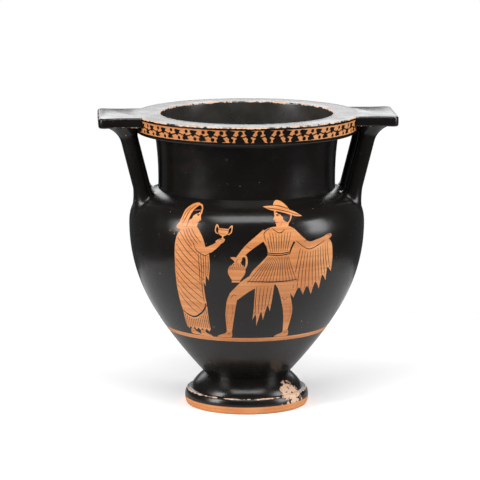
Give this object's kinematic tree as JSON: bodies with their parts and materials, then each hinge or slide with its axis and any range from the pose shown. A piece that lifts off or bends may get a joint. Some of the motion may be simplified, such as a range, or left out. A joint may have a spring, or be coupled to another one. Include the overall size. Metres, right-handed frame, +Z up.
{
  "type": "column krater",
  "caption": "Ancient wide-mouthed fired clay mixing bowl on a stepped foot, with a thick overhanging lip and columnar handles under flat plates, painted in red-figure.",
  "frame": {"origin": "centre of the foot's resting plane, on the turning axis", "axes": "+Z up along the turning axis, X through both handles, -Y towards the side with the main picture"},
  "size_m": [0.385, 0.306, 0.383],
  "materials": {
    "painted_clay": "black gloss slip over orange fired clay, with reserved orange figures"
  },
  "bodies": {
    "root": {"krater": "painted_clay"}
  },
  "joints": []
}
